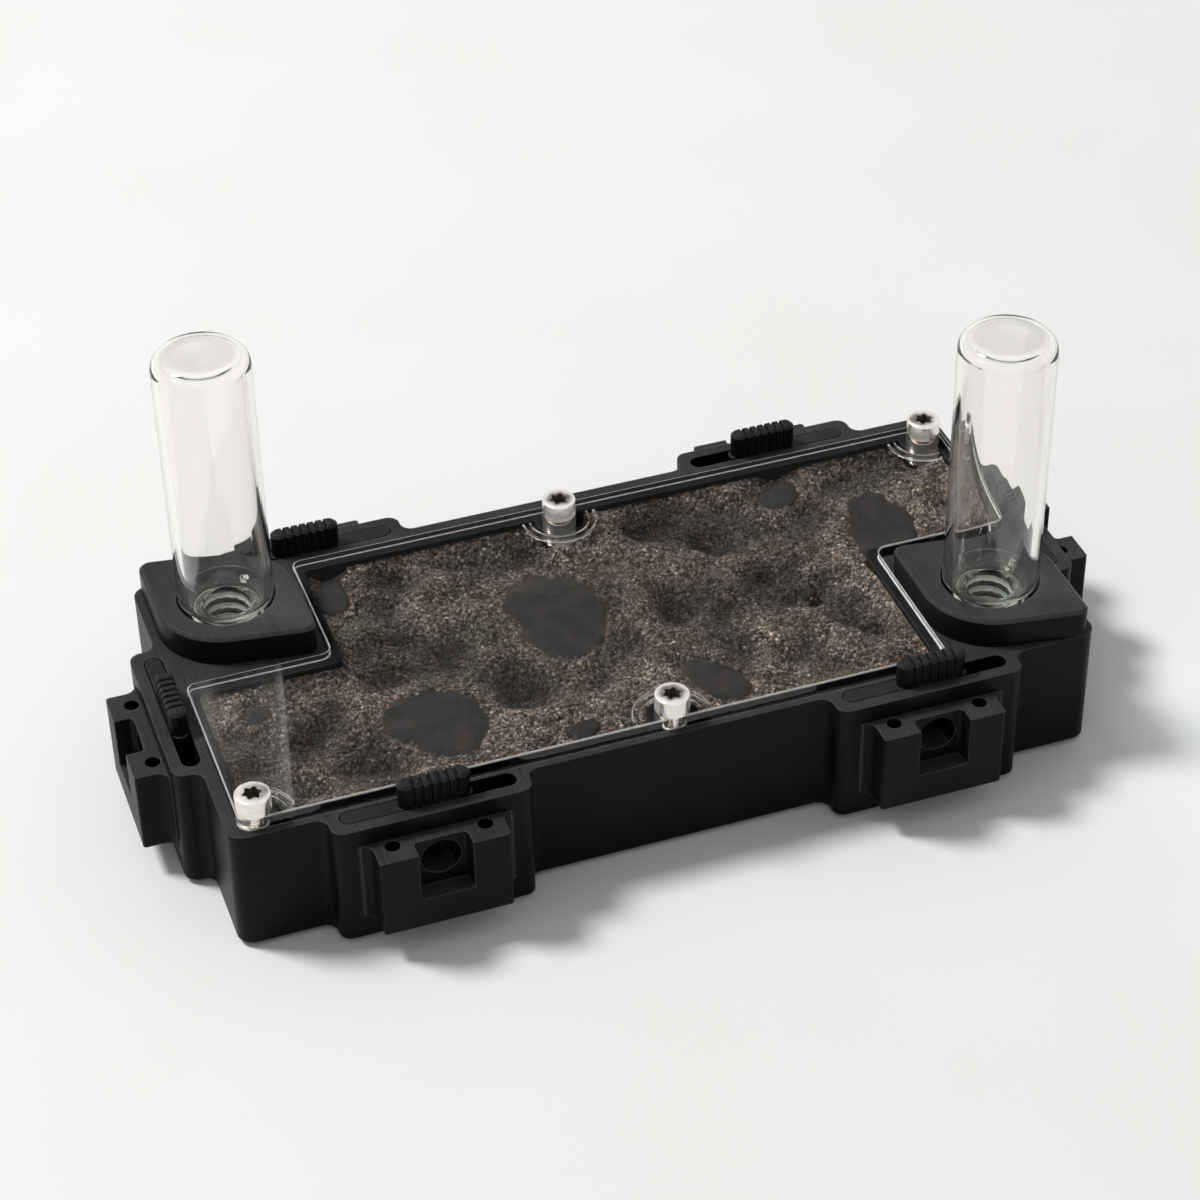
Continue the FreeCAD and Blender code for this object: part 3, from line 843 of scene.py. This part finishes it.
def grains_mesh():
    """Loose grains lying on the sand, each an angular pebble half sunk in it."""
    ball = bmesh.new()
    bmesh.ops.create_icosphere(ball, subdivisions=1, radius=1)
    ball.verts.index_update()
    corners = [v.co.copy() for v in ball.verts]
    sides = [[v.index for v in face.verts] for face in ball.faces]
    ball.free()
    points, faces = [], []
    placed = 0
    while placed < grain_count:
        x = random.uniform(sand_low[0], sand_high[0])
        y = random.uniform(sand_low[1], sand_high[1])
        radius = random.triangular(grain_small, grain_large, grain_usual)
        if not inside_chamber(x, y, lid_land + radius * 2):
            continue
        if min(stone_reach(x, y, stone) for stone in stones) < random.uniform(0.7, 1.02):
            continue
        place = Vector((x, y, sand_height(x, y) + grain_relief(x, y) + radius * grain_rise))
        axis = Vector((random.uniform(-1, 1), random.uniform(-1, 1), random.uniform(-1, 1)))
        spin = Matrix.Rotation(random.uniform(0, math.tau), 3, axis)
        flat, slim = random.uniform(0.55, 1), random.uniform(0.6, 1)
        first = len(points)
        for corner in corners:
            rough = radius * random.uniform(0.8, 1.15)
            points.append(place + spin @ Vector((corner.x, corner.y * slim, corner.z * flat)) * rough)
        faces += [[first + i for i in side] for side in sides]
        placed += 1
    mesh = bpy.data.meshes.new("sand_grains")
    mesh.from_pydata(points, [], faces)
    mesh.update()
    smooth(mesh, 75)
    return mesh


def stone_loop(shape, stone, layer):
    """One level loop of a stone's points, this many layers up from its foot."""
    sx, sy, half_x, half_y, turn = stone
    angle = math.radians(turn)
    pitch = math.pi * layer / stone_layers - math.pi / 2
    spread = abs(math.cos(pitch)) ** 0.35
    z = stone_middle + 0.45 * stone_thickness * math.sin(pitch)
    loop = []
    for i in range(stone_sides):
        heading = 2 * math.pi * i / stone_sides
        across = spread * stone_wobble(stone, heading)
        u = half_x * math.cos(heading) * across
        v = half_y * math.sin(heading) * across
        x = sx + u * math.cos(angle) - v * math.sin(angle)
        y = sy + u * math.sin(angle) + v * math.cos(angle)
        dent = noise.noise(Vector((x / 3, y / 3, layer * 0.3))) * stone_dent
        loop.append(shape.verts.new((x * MM, y * MM, z + dent)))
    return loop


def stones_mesh():
    """Flat water-worn stones, sunk in the sand to their crowns."""
    shape = bmesh.new()
    for stone in stones:
        loops = [stone_loop(shape, stone, layer) for layer in range(1, stone_layers)]
        skin(shape, loops)
        crown = close(shape, loops)
        bmesh.ops.poke(shape, faces=[crown])
    return finished_mesh(shape, "flat_stones", 60)


# Dressing the frame
def dress(nodes, look):
    """Give carried-over nodes their material."""
    for node in nodes:
        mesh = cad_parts[node].data
        mesh.materials.clear()
        mesh.materials.append(look)


def studio():
    """Pale floor and soft light from the upper left and back."""
    bpy.ops.mesh.primitive_plane_add(size=floor_size)
    floor = bpy.context.object
    floor.name = "studio_floor"
    floor.data.materials.append(studio_floor())
    world = bpy.data.worlds.new("soft_room")
    bpy.context.scene.world = world
    world.use_nodes = True
    # A black flag stands behind the object, so that the lid mirrors it and stays clear of glare.
    place = add(world, "ShaderNodeTexCoord")
    toward = add(world, "ShaderNodeVectorMath", {"operation": "DOT_PRODUCT"},
                 i0=(place, "Generated"), i1=flag_direction)
    # Clear and polished pieces see the full white room; matt ones are lit by a dimmer one.
    rays = add(world, "ShaderNodeLightPath")
    sharp = add(world, "ShaderNodeMath", {"operation": "MAXIMUM"}, i0=(rays, "Is Transmission Ray"),
                i1=(rays, "Is Glossy Ray"))
    seen = add(world, "ShaderNodeMix", i0=(sharp, 0), i2=room_light, i3=white_room)
    light = add(world, "ShaderNodeMapRange", Value=(toward, "Value"), i1=flag_outside,
                i2=flag_inside, i3=(seen, 0), i4=flag_light)
    join(world, world.node_tree.nodes["Background"], Color=linear("#fbfbfa"), Strength=(light, 0))
    for name, spot, size, power in lamps:
        lamp = bpy.data.lights.new(name, "AREA")
        lamp.shape = "DISK"
        lamp.size = size
        lamp.energy = power
        holder = bpy.data.objects.new(name, lamp)
        bpy.context.scene.collection.objects.link(holder)
        holder.location = spot
        holder.rotation_euler = (-Vector(spot)).to_track_quat("-Z", "Y").to_euler()


def camera():
    """The camera, turned about its target by azimuth, elevation and roll."""
    turn, lift = math.radians(camera_azimuth), math.radians(camera_elevation)
    back = Vector((math.sin(turn) * math.cos(lift), -math.cos(turn) * math.cos(lift), math.sin(lift)))
    right = (-back).cross(Vector((0, 0, 1))).normalized()
    up = right.cross(-back)
    roll = math.radians(camera_roll)
    side = right * math.cos(roll) + up * math.sin(roll)
    top = -right * math.sin(roll) + up * math.cos(roll)
    view = bpy.data.cameras.new("photo_view")
    view.lens = camera_lens
    view.sensor_width = 36
    view.shift_x, view.shift_y = camera_shift
    view.clip_start = 0.01
    holder = bpy.data.objects.new("photo_view", view)
    bpy.context.scene.collection.objects.link(holder)
    place = Vector(camera_target) + back * camera_distance
    holder.matrix_world = Matrix.Translation(place) @ Matrix((side, top, back)).transposed().to_4x4()
    bpy.context.scene.camera = holder


def main():
    # Each call gives painted shade on the walls, painted light on the tops and painted highlights on
    # the edges.
    black = printed_black("printed_black_petg", ("#0b0b0c", "#121213"), ("#2f2f31", "#3b3b3d"),
                          "#5c5c5e", 0.4)
    gate_black = printed_black("gate_black_petg", ("#09090a", "#101011"), ("#222224", "#2c2c2e"),
                               "#464648", 0.46)
    acrylic, glass = cast_acrylic(), soda_glass()
    steel, socket, thread = turned_stainless(), shaded_socket(), thread_glass()
    names = list(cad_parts)
    dress([n for n in names if n.startswith(("tray_", "port_block_", "vial_collar_"))], black)
    dress([n for n in names if n.startswith("gate_")], gate_black)
    dress([n for n in names if n.startswith("brass_")], turned_brass())
    dress([n for n in names if n.startswith("vial_seal_")], silicone())
    sheet = piece("lid_sheet", lid_mesh(), acrylic, "root", "clear_plastic", "clear_lid")
    second_look(sheet, cut_acrylic_edge(), lambda face: 0.1 < abs(face.normal.z) < 0.99)
    piece("lid_ribs", rib_mesh(), acrylic, "root", "clear_plastic")
    for number, axis in enumerate(screw_places(), 1):
        screw = piece("cap_screw_%d" % number, screw_mesh(*axis), steel, "root", "stainless",
                      "lid_screw_%d" % number)
        # The faces inside the recess take the steel painted dark as shade.
        second_look(screw, socket, lambda face: (face.center.z > lid_high[2]
                                                 and from_axis(face, axis) < socket_reach))
    crest = neck_radius + 0.5 * vial_thread_height
    for side in ("left", "right"):
        node = "glass_vial_" + side
        axis = middle(node)
        vial = piece("vial_" + side, vial_mesh(node), glass, node, "glass", node)
        second_look(vial, thread, lambda face: (face.center.z < rim + neck_above_rim
                                                and from_axis(face, axis) > crest))
    piece("sand", sand_mesh(), packed_sand(), "root", "sand", "sand_bed")
    piece("sand_grains", grains_mesh(), loose_sand(), "root", "sand")
    piece("slate_stones", stones_mesh(), worn_slate(), "root", "stone", "flat_stones")
    studio()
    camera()
    bpy.context.scene.view_settings.view_transform = "Standard"


main()
